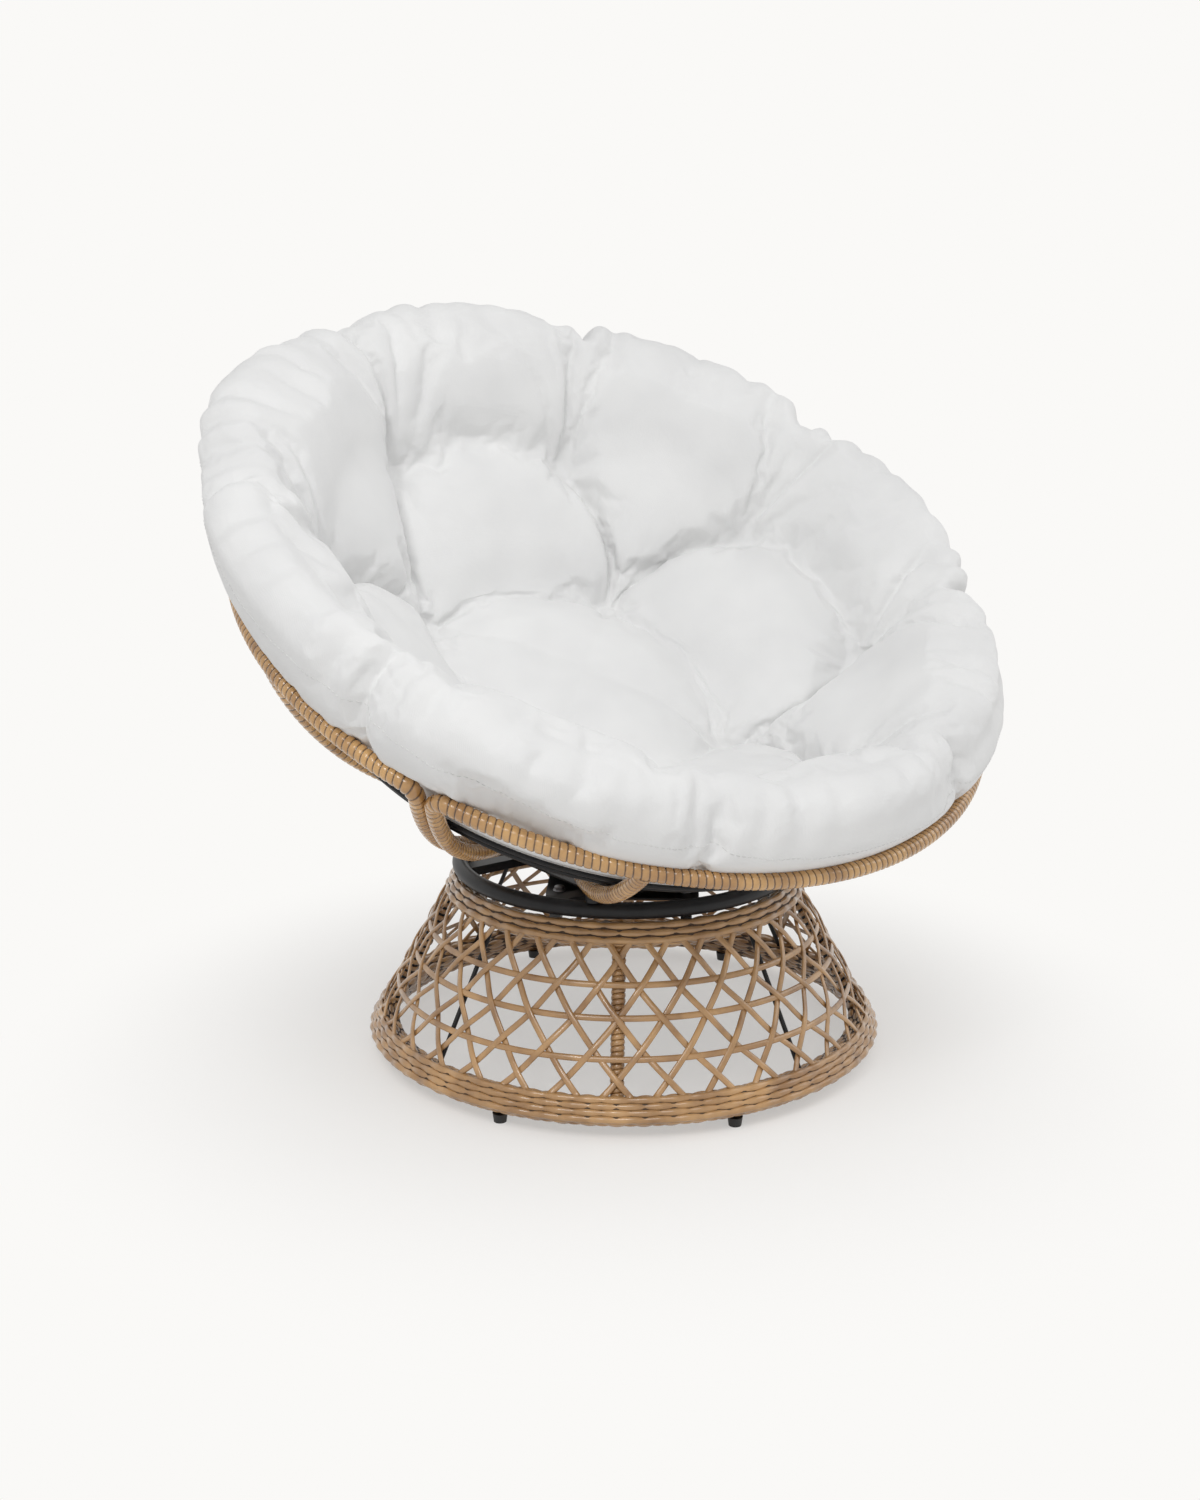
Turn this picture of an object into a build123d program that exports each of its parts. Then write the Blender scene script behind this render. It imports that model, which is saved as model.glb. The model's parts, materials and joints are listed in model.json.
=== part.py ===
from build123d import *
from math import asin, cos, degrees, pi, radians, sin, sqrt
import os

# A swivel bowl chair: a round tufted cushion in a tilted bowl of wicker-wrapped tubes, which is
# bolted to a black ring that turns on an open-weave wicker stand.
# Millimetres. The origin is on the floor, on the swivel axis. +Z is up and the seat faces -Y.

# Clearances
seat_gap = 0.3          # between a piece and what carries it
pin_play = 0.05         # radial running clearance of the kingpin

# Stand
stand_turn = -38.5      # the stand's own front, turned from the seat's front
bottom_ring_radius = 324.0
bottom_ring_height = 31.0
top_ring_radius = 220.0
top_ring_height = 218.0
bottom_band_reach = 16.0    # half height of the bottom woven band, along the slope
top_band_reach = 14.0
band_outer = 15.5       # a band's outer face, out from the middle of its ring
band_inner = 11.0       # a band's inner face, in from the middle of its ring
band_chamfer = 6.0
band_steps = 64         # flats round a band
post_count = 4
post_radius = 6.5
post_wrap_radius = 9.0
rod_count = 4
rod_radius = 3.0
rod_outset = 3.5        # rods stand a little outside the middle of the rings

# Open weave of the stand
strand_count = 32
strand_width = 7.0
strand_thickness = 1.4
strand_sweep = 29.0     # degrees that a slanting strand turns on its way down
strand_steps = 4        # flats along a strand
weave_hoop_steps = 64   # flats round a hoop of the weave
hoop_places = (0.27, 0.49, 0.76)    # hoops, as shares of the free slope from the top

# Feet
foot_radius = 9.5
foot_taper = 8.0        # degrees that a foot narrows towards the floor
foot_angle = 26.4       # feet, away from the stand's front and back

# Swivel
bar_spread = 83.0       # the two cross bars, away from the middle
bar_width = 14.0
bar_height = 16.0
bar_drop = 2.0          # the cross bars lie this much below the middle of the top ring
plate_side = 200.0
plate_thickness = 2.5
plate_corner = 15.0
bearing_radius = 60.0
bearing_width = 24.0
bearing_height = 10.2
kingpin_radius = 8.0
kingpin_head_radius = 15.0
kingpin_head_height = 3.0
turn_bar_spread = 90.0      # the two turning bars, before and behind the axis
turn_bar_width = 22.0
turn_bar_height = 12.0
swivel_ring_radius = 220.0
swivel_tube_radius = 10.5

# Bowl
bowl_tilt = 26.8
rim_setback = 15.0      # middle of the rim, behind the swivel axis
saddle_rise = 15.03     # middle of the front ribs above the swivel ring's top, where they rest on it
rim_radius = 500.0
bowl_depth = 284.0
tube_radius = 10.5      # rim and ribs with their wicker wrap
tube_sides = 8          # flat sides that a round tube is drawn with
ring_steps = 48         # flats round a ring of tube
rim_steps = 16          # flats along the rim of a section, its bends and a rib
bend_steps = 5
rib_steps = 7
seam_half_gap = 0.4
section_span = 120.0    # the bowl's three sections, of which the first has its middle at the low front
rib_turn = 30.0         # single ribs, to each side of a section's middle
corner_bend = 22.0      # how far the bend from rim to end rib reaches along the rim
hub_polar = 14.7        # hub ring, as an angle about the middle of the bowl's sphere
hub_tube_radius = 11.0
hoop_polars = (46.5, 42.5, 36.0)        # three rods that lie inside the ribs
hoop_radius = 3.0
hoop_sides = 6
riser_radius = 8.0
pad_radius = 9.0
halvings = 40           # steps in which a place above the swivel ring is found

# Cushion
cushion_slide = 4.5     # degrees that the cushion lies up the bowl, towards the back
cushion_gap = 0.8
edge_past_rim = 6.8     # degrees that the cushion's underside reaches past the rim
crown_inset = 38.0      # top of the padded edge, inside the rim
crown_height = 160.0    # top of the padded edge, above the rim
edge_overhang = 24.0    # widest place of the padded edge, outside the rim
edge_bulge_height = 112.0
crease_draw_in = 16.0   # the padded edge is this much smaller at a crease
crease_crown_drop = 26.0
crease_crown = 1.0      # how far the line along a crease stands above straight
lobe_count = 8
outer_tuft_inset = 125.0    # outer tufts, inside the rim
outer_tuft_height = -40.0
inner_tuft_radius = 215.0
inner_tuft_height = -150.0
narrow_lobe_foot = 12.0     # height of the shallow valley under a narrow lobe
wide_lobe_height = 52.0     # height of a wide lobe above the tuft circle
pillow_edge_height = -118.0
middle_height = -100.0      # crown of the middle pillow
lobe_steps = ((-1.0, 0.0), (-0.62, 0.7), (0.0, 1.0), (0.62, 0.7), (1.0, 0.0))   # place and fullness
arc_steps = (6, 5, 3, 3, 2)     # flats along the arcs of a cushion profile
lobe_crown = 26.0       # how far a pillow's top stands above the straight line between its valleys

# Worked-out sizes of the stand: the slope runs from the top ring down to the bottom ring
slope_run = bottom_ring_radius - top_ring_radius
slope_drop = top_ring_height - bottom_ring_height
slope_length = sqrt(slope_run**2 + slope_drop**2)
along = (slope_run / slope_length, -slope_drop / slope_length)
outward = (-along[1], along[0])
free_start = top_band_reach + seat_gap
free_end = slope_length - bottom_band_reach - seat_gap
strand_dip = bottom_ring_radius * (1 - cos(radians(strand_sweep / strand_steps / 2)))
hoop_dip = bottom_ring_radius * (1 - cos(radians(180 / weave_hoop_steps)))
right_layer = post_wrap_radius + seat_gap + strand_dip
hoop_layer = right_layer + strand_thickness + seat_gap + hoop_dip
left_layer = hoop_layer + strand_thickness + seat_gap + strand_dip
strand_slant = radians(strand_sweep) * (top_ring_radius + bottom_ring_radius) / 2 / slope_length
strand_spread = strand_width * sqrt(1 + strand_slant**2)      # width of a slanting strand, level with the floor

# Worked-out heights of the swivel
bar_top = top_ring_height + bar_height / 2 - bar_drop
lower_plate_top = bar_top + plate_thickness
upper_plate_bottom = lower_plate_top + bearing_height + seat_gap
upper_plate_top = upper_plate_bottom + plate_thickness
swivel_ring_height = upper_plate_top + swivel_tube_radius
swivel_ring_top = swivel_ring_height + swivel_tube_radius

# Worked-out sizes of the bowl, in its own frame: Z = 0 is the rim's plane and -Y is the low front
sphere_radius = (rim_radius**2 + bowl_depth**2) / (2 * bowl_depth)
sphere_middle = sphere_radius - bowl_depth
rim_polar = degrees(asin(rim_radius / sphere_radius))
hub_radius = sphere_radius * sin(radians(hub_polar))
hub_height = sphere_middle - sphere_radius * cos(radians(hub_polar))
hoop_corner = hoop_radius / cos(radians(180 / hoop_sides))
double_rib_offset = tube_radius + seam_half_gap
hoop_sphere = sphere_radius - tube_radius - hoop_corner - seat_gap
cushion_sphere = hoop_sphere - hoop_corner - cushion_gap
edge_polar = rim_polar + edge_past_rim
crown_radius = rim_radius - crown_inset
edge_bulge = (rim_radius + edge_overhang, edge_bulge_height)
outer_tuft_radius = rim_radius - outer_tuft_inset

stand_place = Rot(Z=stand_turn)
tilted_bowl = Pos(0, rim_setback, 0) * Rot(X=bowl_tilt)

levels = ("upper", "middle", "lower")
pieces = {}


def slope_point(distance, offset):
    """Radius and height of a point on the stand's slope, down from the top ring and outward."""
    radius = top_ring_radius + along[0] * distance + outward[0] * offset
    height = top_ring_height + along[1] * distance + outward[1] * offset
    return radius, height


def slope_place(angle, distance, offset):
    """Place on the stand, with Z down the slope and X outward. Angle 0 is the stand's front."""
    radius, height = slope_point(distance, offset)
    down = Vector(along[0], 0, along[1])
    out = Vector(outward[0], 0, outward[1])
    return Rot(Z=angle - 90) * Plane(origin=(radius, 0, height), x_dir=out, z_dir=down).location


def faceted(rings, closed=False):
    """Solid with flat sides through a run of rings of points. Points that two rings share close a tip."""
    count = len(rings[0])
    after = rings[1:] + rings[:1] if closed else rings[1:]
    faces = []
    for near, far in zip(rings, after):
        for index in range(count):
            follow = (index + 1) % count
            if near[index] != far[index]:
                faces.append(Face(Wire.make_polygon([near[index], far[index], far[follow]])))
            if near[follow] != far[follow]:
                faces.append(Face(Wire.make_polygon([near[index], far[follow], near[follow]])))
    if not closed:
        faces.append(Face(Wire.make_polygon(rings[0])))
        faces.append(Face(Wire.make_polygon(rings[-1])))
    return Solid(Shell(faces))


def turned(section, steps):
    """Ring about Z with flats, from a section of radius and height pairs."""
    rings = []
    for step in range(steps):
        angle = 2 * pi * step / steps
        rings.append([Vector(radius * sin(angle), -radius * cos(angle), height) for radius, height in section])
    return faceted(rings, closed=True)


def slope_ring(start, end, inner, outer, chamfer_size):
    """Ring with flats and a section set square to the slope, with its outer corners cut off."""
    corners = [
        (start, inner),
        (end, inner),
        (end, outer - chamfer_size),
        (end - chamfer_size, outer),
        (start + chamfer_size, outer),
        (start, outer - chamfer_size),
    ]
    return turned([slope_point(distance, offset) for distance, offset in corners], band_steps)


def tube_corners(tube, sides):
    """Corners of a flat-sided tube section whose flats touch the tube's real radius."""
    corner = tube / cos(pi / sides)
    turns = [2 * pi * (side + 0.5) / sides for side in range(sides)]
    return [(corner * cos(turn), corner * sin(turn)) for turn in turns]


def tube_ring(radius, height, tube, sides=tube_sides):
    """Ring of round tube about Z, drawn with flats."""
    section = [(radius + out, height + up) for out, up in tube_corners(tube, sides)]
    return turned(section, ring_steps)


def tube_along(points, tube):
    """Round tube along points of the bowl, drawn with flats that face the middle of the bowl's sphere."""
    middle = Vector(0, 0, sphere_middle)
    rings = []
    for index, point in enumerate(points):
        before = points[max(index - 1, 0)]
        after = points[min(index + 1, len(points) - 1)]
        run = (after - before).normalized()
        out = point - middle
        out = (out - run * out.dot(run)).normalized()
        side = run.cross(out)
        rings.append([point + out * a + side * b for a, b in tube_corners(tube, tube_sides)])
    return faceted(rings)


def on_bowl(angle, polar, radius):
    """Point of a sphere about the bowl's middle. Angle 0 is the low front, 90 is +X."""
    level = radius * sin(radians(polar))
    x = level * sin(radians(angle))
    y = -level * cos(radians(angle))
    return Vector(x, y, sphere_middle - radius * cos(radians(polar)))


def flats(arc, count):
    """Points that divide an arc into flats, without its end."""
    return [arc @ (step / count) for step in range(count)]


def around(angle):
    """Outward and sideways directions in the rim's plane."""
    out = Vector(sin(radians(angle)), -cos(radians(angle)), 0)
    side = Vector(cos(radians(angle)), sin(radians(angle)), 0)
    return out, side


def over_ring(place_at, outside, inside):
    """Point of a tilted curve above the swivel ring, found by halving between its outer and inner ends."""
    for step in range(halvings):
        middle = (outside + inside) / 2
        spot = (tilted_bowl * Pos(*place_at(middle))).position
        if sqrt(spot.X**2 + spot.Y**2) > swivel_ring_radius:
            outside = middle
        else:
            inside = middle
    return spot


# The bowl's front ribs rest on the swivel ring, which sets the height of its rim
rib_rest = over_ring(lambda polar: on_bowl(rib_turn, polar, sphere_radius), rim_polar, hub_polar)
rim_height = swivel_ring_top + saddle_rise - rib_rest.Z
bowl_place = Pos(0, 0, rim_height) * tilted_bowl
cushion_place = bowl_place * Pos(0, 0, sphere_middle) * Rot(X=cushion_slide) * Pos(0, 0, -sphere_middle)


# Stand: wrapped rings, posts and rods
def post_rod(angle, start, end, radius, offset=0.0):
    return slope_place(angle, start, offset) * extrude(Circle(radius), end - start)


def make_stand_frame():
    low = slope_length - bottom_band_reach
    high = slope_length + bottom_band_reach
    pieces["top_band"] = slope_ring(-top_band_reach, top_band_reach, -band_inner, band_outer, band_chamfer)
    pieces["bottom_band"] = slope_ring(low, high, -band_inner, band_outer, band_chamfer)
    wraps = []
    for index, name in enumerate(("front", "right", "back", "left")):
        angle = index * 360 / post_count
        pieces[f"{name}_post"] = post_rod(angle, free_start, free_end, post_radius)
        wrap = post_rod(angle, free_start, free_end, post_wrap_radius)
        wraps.append(wrap - post_rod(angle, free_start, free_end, post_radius + seat_gap))
    pieces["post_wraps"] = Compound(children=wraps)
    rods = []
    for index in range(rod_count):
        angle = (index + 0.5) * 360 / rod_count
        rods.append(post_rod(angle, free_start, free_end, rod_radius, rod_outset))
    pieces["stake_rods"] = Compound(children=rods)


# Stand: open weave
def strand_run(inner):
    """Slope distances at which a strand's layer meets the cut corners of the two bands."""
    into_band = min(max(inner - band_outer + band_chamfer, 0.0), band_chamfer)
    return free_start - into_band + seat_gap, free_end + into_band - seat_gap


def strand_ring(angle, distance, inner):
    """Level section of a slanting strand: inner and outer points to each side of an angle."""
    points = []
    for offset, sides in ((inner, (-1, 1)), (inner + strand_thickness, (1, -1))):
        radius, height = slope_point(distance, offset)
        for side in sides:
            turn = radians(angle) + side * strand_spread / 2 / radius
            points.append(Vector(radius * sin(turn), -radius * cos(turn), height))
    return points


def slanted_strand(angle, lean, inner):
    start, end = strand_run(inner)
    rings = []
    for step in range(strand_steps + 1):
        share = step / strand_steps
        turn = angle + lean * strand_sweep * (share - 0.5)
        rings.append(strand_ring(turn, start + share * (end - start), inner))
    return faceted(rings)


def make_weave():
    for name, inner, lean in (("right", right_layer, 1), ("left", left_layer, -1)):
        strand = slanted_strand(0.0, lean, inner)
        turns = [Rot(Z=360 * number / strand_count) * strand for number in range(strand_count)]
        pieces[f"weave_strands_{name}"] = Compound(children=turns)
    for level, place in zip(levels, hoop_places):
        middle = free_start + place * (free_end - free_start)
        section = []
        for side, offset in ((-1, 0), (1, 0), (1, strand_thickness), (-1, strand_thickness)):
            section.append(slope_point(middle + side * strand_width / 2, hoop_layer + offset))
        pieces[f"{level}_weave_hoop"] = turned(section, weave_hoop_steps)


def make_feet():
    under_band = slope_point(slope_length + bottom_band_reach, -band_inner)[1] - seat_gap
    foot = Pos(0, 0, under_band) * extrude(Circle(foot_radius), -under_band, taper=foot_taper)
    feet = []
    for angle in (foot_angle, -foot_angle, 180 - foot_angle, foot_angle - 180):
        feet.append(Rot(Z=angle) * Pos(0, -bottom_ring_radius, 0) * foot)
    pieces["foot_glides"] = Compound(children=feet)


# Swivel
def swivel_plate(height):
    plate = extrude(Rectangle(plate_side, plate_side), plate_thickness)
    plate = fillet(plate.edges().filter_by(Axis.Z), plate_corner)
    hole = extrude(Circle(kingpin_radius + pin_play), plate_thickness)
    return Pos(0, 0, height) * (plate - hole)


def make_swivel():
    band_dip = top_ring_radius * (1 - cos(pi / band_steps))
    bar_room = []
    for distance in (-top_band_reach, top_band_reach):
        bar_room.append(slope_point(distance, -band_inner - seat_gap - band_dip))
    core = [(0, bar_room[1][1]), bar_room[1], bar_room[0], (0, bar_room[0][1])]
    inside_band = revolve(Plane.XZ * make_face(Polyline(*core, close=True)), Axis.Z)
    bars = []
    for side in (-1, 1):
        place = Pos(side * bar_spread, 0, bar_top - bar_height / 2)
        bars.append(place * Box(bar_width, 2 * top_ring_radius, bar_height) & inside_band)
    pieces["cross_bars"] = stand_place * Compound(children=bars)
    pieces["lower_swivel_plate"] = stand_place * swivel_plate(bar_top)
    bearing_inner = bearing_radius - bearing_width / 2
    bearing_outer = bearing_radius + bearing_width / 2
    bearing_top = lower_plate_top + bearing_height
    section = [(bearing_inner, lower_plate_top), (bearing_outer, lower_plate_top)]
    section += [(bearing_outer, bearing_top), (bearing_inner, bearing_top)]
    pieces["bearing_ring"] = turned(section, ring_steps)

    shank_top = upper_plate_top + seat_gap
    head = extrude(RegularPolygon(kingpin_head_radius, 6), kingpin_head_height)
    shank = Pos(0, 0, bar_top) * extrude(Circle(kingpin_radius), shank_top - bar_top)
    low_head = Pos(0, 0, bar_top - kingpin_head_height) * head
    pieces["kingpin"] = shank + low_head + Pos(0, 0, shank_top) * head

    pieces["upper_swivel_plate"] = swivel_plate(upper_plate_bottom)
    pieces["swivel_ring"] = tube_ring(swivel_ring_radius, swivel_ring_height, swivel_tube_radius)
    ring_dip = swivel_ring_radius * (1 - cos(pi / ring_steps))
    inner_radius = swivel_ring_radius - swivel_tube_radius - ring_dip - seat_gap
    inside_ring = Pos(0, 0, upper_plate_top) * extrude(Circle(inner_radius), turn_bar_height)
    bars = []
    for side in (-1, 1):
        place = Pos(0, side * turn_bar_spread, upper_plate_top + turn_bar_height / 2)
        bars.append(place * Box(2 * swivel_ring_radius, turn_bar_width, turn_bar_height) & inside_ring)
    pieces["turning_bars"] = Compound(children=bars)


# Bowl
def section_side(seam, lean):
    """Points of a section beside a seam, from its rim round the bend and down its end rib."""
    out, side = around(seam)
    turn = degrees((double_rib_offset + corner_bend) / rim_radius)
    rim_out, rim_side = around(seam + lean * turn)
    rim_end = rim_out * rim_radius
    to_seam = rim_side * -lean
    bend = (rim_radius * sin(radians(turn)) - double_rib_offset) / cos(radians(turn))
    down = out * -cos(radians(rim_polar)) + Vector(0, 0, -sin(radians(rim_polar)))
    rib_top = rim_end + to_seam * bend + down * bend
    rib_end = on_bowl(seam, hub_polar, sphere_radius) + side * (lean * double_rib_offset)
    bend_arc = TangentArc(rim_end, rib_top, tangent=to_seam)
    rib_arc = TangentArc(rib_top, rib_end, tangent=down)
    return flats(bend_arc, bend_steps) + flats(rib_arc, rib_steps) + [rib_end]


def bowl_section(middle, tube):
    """One third of the bowl's frame: a rim arc that bends down into a rib at each end."""
    start = section_side(middle - section_span / 2, 1)
    end = section_side(middle + section_span / 2, -1)
    rim_arc = ThreePointArc(start[0], around(middle)[0] * rim_radius, end[0])
    return tube_along(start[::-1] + flats(rim_arc, rim_steps)[1:] + end, tube)


def single_rib(angle, tube):
    points = []
    for step in range(rib_steps + 1):
        polar = rim_polar + (hub_polar - rim_polar) * step / rib_steps
        points.append(on_bowl(angle, polar, sphere_radius))
    return tube_along(points, tube)


def make_bowl():
    hub_room = tube_ring(hub_radius, hub_height, hub_tube_radius + seat_gap)
    ribs = []
    for name, middle in (("front", 0.0), ("right", 120.0), ("left", 240.0)):
        pieces[f"{name}_bowl_section"] = bowl_place * (bowl_section(middle, tube_radius) - hub_room)
        rim_room = bowl_section(middle, tube_radius + seat_gap)
        for angle in (middle - rib_turn, middle + rib_turn):
            rib = single_rib(angle, tube_radius) - rim_room - hub_room
            ribs.append(rib.solids().sort_by(SortBy.VOLUME)[-1])
    pieces["single_ribs"] = bowl_place * Compound(children=ribs)
    pieces["hub_ring"] = bowl_place * tube_ring(hub_radius, hub_height, hub_tube_radius)
    for level, polar in zip(levels, hoop_polars):
        spot = on_bowl(90.0, polar, hoop_sphere)
        pieces[f"{level}_bowl_hoop"] = bowl_place * tube_ring(spot.X, spot.Z, hoop_radius, hoop_sides)


def support(spot, radius, carried):
    """Round stud that stands on the swivel ring and ends against the underside of what it carries."""
    floor = swivel_ring_top + seat_gap
    stud = Pos(spot.X, spot.Y, floor) * extrude(Circle(radius), rim_height + spot.Z - floor)
    return (stud - carried).solids().sort_by(Axis.Z)[0]


def make_supports():
    front = []
    rear = []
    hub_room = bowl_place * tube_ring(hub_radius, hub_height, hub_tube_radius + seat_gap)
    for side in (-1, 1):
        angle = side * rib_turn
        spot = over_ring(lambda polar: on_bowl(angle, polar, sphere_radius), rim_polar, hub_polar)
        front.append(support(spot, pad_radius, bowl_place * single_rib(angle, tube_radius + seat_gap)))
        spot = over_ring(lambda turn: on_bowl(side * turn, hub_polar, sphere_radius), 180.0, 0.0)
        rear.append(support(spot, riser_radius, hub_room))
    pieces["front_saddles"] = Compound(children=front)
    pieces["rear_risers"] = Compound(children=rear)


# Cushion
def crowned(start, end, rise):
    """Arc between two points of a cushion profile that stands above their straight line."""
    run = Vector(end[0] - start[0], end[1] - start[1])
    upright = Vector(run.Y, -run.X).normalized()
    middle = (Vector(*start) + Vector(*end)) / 2 + upright * rise
    return ThreePointArc(start, (middle.X, middle.Y), end)


def cushion_profile(fullness, lobe_outer, lobe_inner, lobe_rise):
    """Cross-section of the cushion from its middle to its edge: fullness 0 is a crease, 1 the lobe's middle."""
    draw_in = crease_draw_in * (1 - fullness)
    drop = crease_crown_drop * (1 - fullness)
    crease_inner = (pillow_edge_height + inner_tuft_height) / 2
    rise = lobe_rise * fullness
    low = (0, sphere_middle - cushion_sphere)
    half_polar = radians(edge_polar / 2)
    under = (cushion_sphere * sin(half_polar), sphere_middle - cushion_sphere * cos(half_polar))
    edge_radius = cushion_sphere * sin(radians(edge_polar)) - draw_in / 2
    edge = (edge_radius, sphere_middle - sqrt(cushion_sphere**2 - edge_radius**2))
    bulge = (edge_bulge[0] - draw_in, edge_bulge[1] - drop / 2)
    crown = (crown_radius - draw_in / 2, crown_height - drop)
    outer = (outer_tuft_radius, outer_tuft_height + fullness * (lobe_outer - outer_tuft_height))
    inner = (inner_tuft_radius, crease_inner + fullness * (lobe_inner - crease_inner))
    top = (0, middle_height)
    arcs = (
        ThreePointArc(low, under, edge),
        ThreePointArc(edge, bulge, crown),
        crowned(crown, outer, rise + crease_crown),
        crowned(outer, inner, rise + crease_crown),
        crowned(inner, top, lobe_crown),
    )
    points = []
    for arc, count in zip(arcs, arc_steps):
        points += flats(arc, count)
    return points + [Vector(*top)]


def make_cushion():
    half_lobe = 180 / lobe_count
    rings = []
    for index in range(lobe_count):
        shape = (narrow_lobe_foot, pillow_edge_height, lobe_crown)
        if index % 2:
            shape = (wide_lobe_height, inner_tuft_height, lobe_crown / 2)
        for place, fullness in lobe_steps[:-1]:
            out = around((2 * index + place) * half_lobe)[0]
            profile = cushion_profile(fullness, *shape)
            rings.append([out * point.X + Vector(0, 0, point.Y) for point in profile])
    pieces["cushion"] = cushion_place * faceted(rings, closed=True)


make_stand_frame()
make_weave()
make_feet()
for stand_name in list(pieces):
    pieces[stand_name] = stand_place * pieces[stand_name]
make_swivel()
make_bowl()
make_supports()
make_cushion()

os.makedirs("parts", exist_ok=True)
for node, shape in pieces.items():
    export_step(shape, f"parts/{node}.step")
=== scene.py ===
import json
import math

import bpy
import numpy as np
from mathutils import Matrix, Vector
from mathutils.bvhtree import BVHTree


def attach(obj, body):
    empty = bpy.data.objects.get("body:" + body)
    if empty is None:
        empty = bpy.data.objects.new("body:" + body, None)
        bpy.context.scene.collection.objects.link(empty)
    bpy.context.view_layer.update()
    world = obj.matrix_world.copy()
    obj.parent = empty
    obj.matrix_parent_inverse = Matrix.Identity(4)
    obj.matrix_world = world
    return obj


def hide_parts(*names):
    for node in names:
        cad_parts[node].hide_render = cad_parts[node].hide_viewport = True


# Looks of a swivel bowl chair, in metres and in the frame of the solids: +Z is up and the seat's low
# front faces -Y. Angles are in degrees; angle 0 is the front and angles turn towards +X.

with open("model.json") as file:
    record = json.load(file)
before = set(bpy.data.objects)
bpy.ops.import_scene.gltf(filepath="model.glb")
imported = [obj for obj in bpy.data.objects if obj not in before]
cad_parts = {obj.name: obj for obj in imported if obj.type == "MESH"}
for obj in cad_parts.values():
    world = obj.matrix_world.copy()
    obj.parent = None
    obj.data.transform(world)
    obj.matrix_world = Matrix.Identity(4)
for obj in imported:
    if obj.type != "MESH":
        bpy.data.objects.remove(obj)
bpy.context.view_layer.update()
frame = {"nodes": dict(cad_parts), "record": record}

# Stand, as in the solids
stand_turn = -38.5
top_ring_radius, top_ring_height = 0.220, 0.218
bottom_ring_radius, bottom_ring_height = 0.324, 0.031
top_band_reach, bottom_band_reach = 0.014, 0.016
band_outer, band_inner = 0.0155, 0.011
band_wave = 0.034           # one swing in and out of a strand in the bands
post_radius, post_wrap_radius = 0.0065, 0.009
strand_count = 32
strand_width, strand_thickness = 0.0082, 0.0034
strand_sweep = 29.0
weave_middle = 0.01275      # middle of the weave, out from the slope
weave_swing = 0.0020        # how far a strand swings in and out on its way over and under
strand_lap, wrap_lap = 0.003, 0.002     # how far strands and post wraps run in under the bands
band_strand = (0.0027, 0.0044)          # half thickness and half width of a strand in the bands
band_swing = band_sink = 0.0012
row_inset, edge_row_inset = 0.0005, 0.0015
edge_row_offsets = (0.0085, 0.0005, -0.0075)
post_strand = (0.0013, 0.0035)          # half thickness and half width of the strand round a post
post_pitches = (0.0071, 0.0105, 0.0071, 0.0105)
edge_shade_depth, edge_shade_power = 0.45, 8        # how dark the painted shade along a strand's edges is, and how narrow that dark line
hoop_places = (0.27, 0.49, 0.76)
levels = ("upper", "middle", "lower")

# Swivel, as in the solids
swivel_ring_radius, swivel_ring_height, swivel_tube_radius = 0.220, 0.250, 0.0105
lower_bolts_height, upper_bolts_height = 0.2265, 0.2515
lower_bolt_spot, upper_bolt_spot = (0.083, 0.070), (0.060, 0.090)
head_radius, head_height = 0.0068, 0.0045
washer_radius, washer_height = 0.0085, 0.0012
bolt_sides = 24

# Bowl, as in the solids
bowl_tilt = 26.8
rim_setback, rim_height = 0.015, 0.568
rim_radius, bowl_depth = 0.500, 0.284
tube_radius, hub_tube_radius, hoop_radius = 0.0105, 0.011, 0.003
section_middles = (0.0, 120.0, 240.0)
section_names = ("front", "right", "left")
section_span = 120.0
rib_turn = 30.0
corner_bend = 0.022
double_rib_offset = 0.0109
hub_polar = 14.7
hoop_polars = (46.5, 42.5, 36.0)
rib_top_gap, rib_foot_gap = 0.6, 0.7    # degrees from the rim and from the hub to the ends of a rib
hoop_gap, cushion_gap = 0.0008, 0.0012
rim_pitch, rib_pitch = 0.0092, 0.0125   # from one turn of the wound strand to the next
wrap_step, wrap_groove, groove_power = 0.0011, 0.0019, 5

# Cushion, as in the solids
cushion_slide = 4.5
edge_past_rim = 1.2         # the padded edge starts this far past the rim
outer_tuft_radius, inner_tuft_radius = 0.375, 0.215

# Worked-out sizes
slope_run = bottom_ring_radius - top_ring_radius
slope_drop = top_ring_height - bottom_ring_height
slope_length = math.hypot(slope_run, slope_drop)
along = np.array((slope_run, -slope_drop)) / slope_length
outward = np.array((slope_drop, slope_run)) / slope_length
free_start = top_band_reach
free_end = slope_length - bottom_band_reach
sphere_radius = (rim_radius**2 + bowl_depth**2) / (2 * bowl_depth)
sphere_middle = sphere_radius - bowl_depth
rim_polar = math.degrees(math.asin(rim_radius / sphere_radius))
hoop_sphere = sphere_radius - tube_radius - hoop_radius - hoop_gap
cushion_sphere = hoop_sphere - hoop_radius - cushion_gap

stand_place = Matrix.Rotation(math.radians(stand_turn), 4, "Z")
rim_place = Matrix.Translation((0, rim_setback, rim_height))
bowl_place = rim_place @ Matrix.Rotation(math.radians(bowl_tilt), 4, "X")
to_middle = Matrix.Translation((0, 0, sphere_middle))
slide_turn = Matrix.Rotation(math.radians(cushion_slide), 4, "X")
cushion_place = bowl_place @ to_middle @ slide_turn @ to_middle.inverted()


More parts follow.
